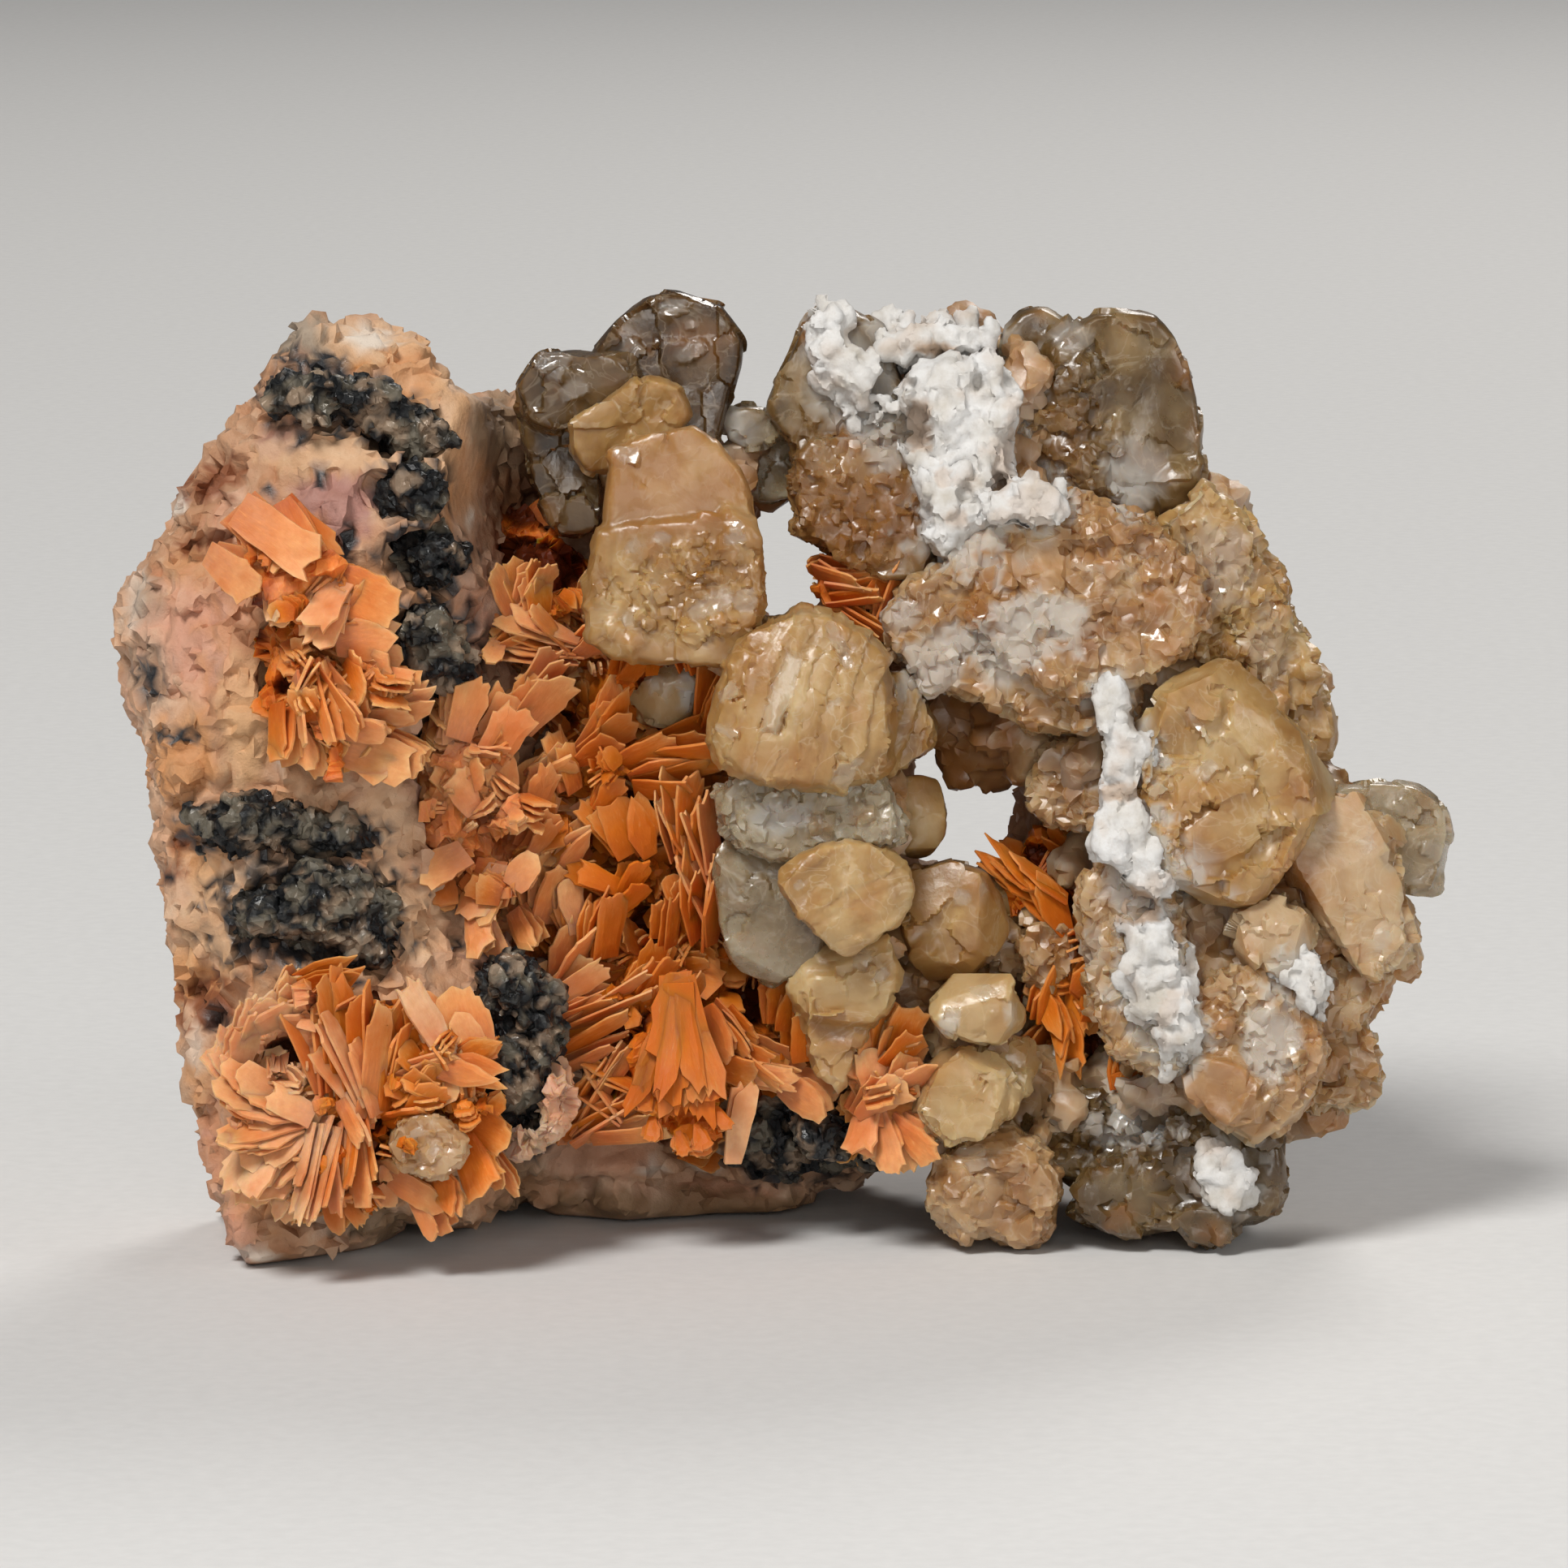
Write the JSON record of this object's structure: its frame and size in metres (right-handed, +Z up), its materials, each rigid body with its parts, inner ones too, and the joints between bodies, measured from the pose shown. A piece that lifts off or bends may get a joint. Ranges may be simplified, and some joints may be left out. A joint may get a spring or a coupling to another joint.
{
  "type": "barite with cerussite mineral specimen",
  "caption": "Natural mineral specimen: orange bladed barite rosettes, honey to clear cerussite crystals, dark galena and white crust on buff host rock, resting on flat rock feet.",
  "frame": {"origin": "middle of the bounding box, on the surface that the specimen stands on", "axes": "+Z up, +X to the right of the display side along the longest extent, +Y to the rear; the display side faces -Y"},
  "size_m": [0.0748, 0.0359, 0.0533],
  "materials": {
    "matrix_rock": "rough broken rock, buff with pink, ochre and rusty patches",
    "barite_orange": "thin translucent blades, vitreous, deep orange in the recesses and pale pink at the edges",
    "barite_pale": "pale pearly shell",
    "cerussite_honey": "translucent honey-tan crystal, striated and serrated, adamantine gloss",
    "cerussite_clear": "grey to beige clear crystal, adamantine gloss",
    "cerussite_smoky": "dark olive-brown translucent crystal, adamantine gloss",
    "galena_dark": "granular lead-grey grains with a metallic sparkle",
    "crust_white": "chalky white crust of fine crystals"
  },
  "bodies": {
    "root": {"barite_base_tuft": "barite_orange", "barite_cavity_lining": "barite_orange", "barite_inner_right": "barite_orange", "barite_lower_rosette": "barite_orange", "barite_pale_fan": "barite_pale", "barite_slab_rosette": "barite_orange", "barite_upper_right": "barite_orange", "cerussite_beige_cluster": "cerussite_honey", "cerussite_beige_slab": "cerussite_honey", "cerussite_bottom_clear": "cerussite_clear", "cerussite_bottom_tip": "cerussite_honey", "cerussite_bridge": "cerussite_clear", "cerussite_central_mass": "cerussite_honey", "cerussite_far_right": "cerussite_honey", "cerussite_far_right_clear": "cerussite_clear", "cerussite_glinting": "cerussite_honey", "cerussite_grey_clear": "cerussite_clear", "cerussite_grey_neck": "cerussite_clear", "cerussite_heart": "cerussite_honey", "cerussite_inner": "cerussite_honey", "cerussite_on_rosette": "cerussite_honey", "cerussite_peak": "cerussite_clear", "cerussite_rhombic_plate": "cerussite_honey", "cerussite_ribbed": "cerussite_honey", "cerussite_right_edge": "cerussite_honey", "cerussite_right_lobes": "cerussite_honey", "cerussite_round_tan": "cerussite_honey", "cerussite_small_clear": "cerussite_clear", "cerussite_small_oval": "cerussite_honey", "cerussite_small_pink": "cerussite_honey", "cerussite_small_round": "cerussite_honey", "cerussite_smoky": "cerussite_smoky", "cerussite_smoky_twin": "cerussite_smoky", "cerussite_sparkly": "cerussite_honey", "cerussite_tall_plate": "cerussite_honey", "cerussite_tapering": "cerussite_honey", "cerussite_top_plate": "cerussite_clear", "cerussite_white_facet": "cerussite_clear", "crust_bottom_spot": "crust_white", "crust_main": "crust_white", "crust_peak": "crust_white", "crust_right_spot": "crust_white", "crust_strand": "crust_white", "crust_top": "crust_white", "galena_base": "galena_dark", "galena_edge_spot": "galena_dark", "galena_large": "galena_dark", "galena_left_band": "galena_dark", "galena_middle_spot": "galena_dark", "galena_slab_edge": "galena_dark", "galena_top_band": "galena_dark", "galena_upper_spot": "galena_dark", "matrix": "matrix_rock"}
  },
  "joints": []
}
